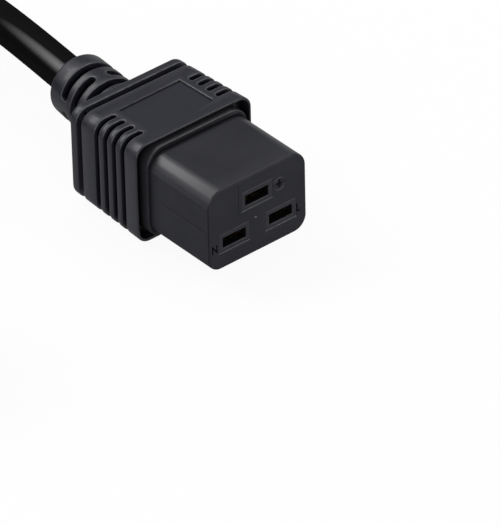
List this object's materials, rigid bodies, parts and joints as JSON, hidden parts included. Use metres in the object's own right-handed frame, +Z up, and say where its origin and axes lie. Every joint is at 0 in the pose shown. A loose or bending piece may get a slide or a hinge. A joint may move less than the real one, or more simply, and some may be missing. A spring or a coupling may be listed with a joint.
{
  "type": "c19 power connector",
  "caption": "Moulded straight mains connector with a rounded block, horizontal pin slots, a ribbed tapered grip and a slotted strain relief, on a coiled round cord with a round earthed plug.",
  "frame": {"origin": "on the standing surface, under the middle of the connector's outline", "axes": "+X across the two live slots, towards the line slot; +Y from the mating face to the cord; +Z up, towards the earth slot"},
  "size_m": [0.1213, 0.2182, 0.0368],
  "materials": {
    "housing_plastic": "fine moulded satin black, glass-filled",
    "carrier_plastic": "fine moulded satin black",
    "overmould_pvc": "satin black soft moulding",
    "cord_jacket": "soft black jacket, low sheen",
    "core_brown": "plain",
    "core_blue": "plain",
    "core_green_yellow": "green with a yellow stripe",
    "contact_brass": "stamped, tin-plated at the leaves",
    "copper_strand": "bare stranded copper",
    "plated_pin": "nickel plated",
    "plug_pvc": "satin black soft moulding",
    "bridge_plastic": "hard moulded, satin",
    "tie_plastic": "plastic-coated tie wire"
  },
  "bodies": {
    "root": {"front_housing": "housing_plastic", "contact_carrier": "carrier_plastic", "grip_overmould": "overmould_pvc", "jacket_tail": "cord_jacket", "neutral_contact": "contact_brass", "neutral_core": "core_blue", "neutral_conductor": "copper_strand", "line_contact": "contact_brass", "line_core": "core_brown", "line_conductor": "copper_strand", "earth_contact": "contact_brass", "earth_core": "core_green_yellow", "earth_conductor": "copper_strand", "cord_run": "cord_jacket", "cord_coil": "cord_jacket", "coil_tie": "tie_plastic", "cord_tail": "cord_jacket", "plug_body": "plug_pvc", "plug_bridge": "bridge_plastic", "plug_pin_neutral": "plated_pin", "plug_pin_line": "plated_pin", "plug_earth_strip": "plated_pin", "plug_earth_socket": "plated_pin", "plug_jacket_tail": "cord_jacket", "plug_neutral_core": "core_blue", "plug_neutral_conductor": "copper_strand", "plug_line_core": "core_brown", "plug_line_conductor": "copper_strand", "plug_earth_core": "core_green_yellow", "plug_earth_conductor": "copper_strand"}
  },
  "joints": []
}
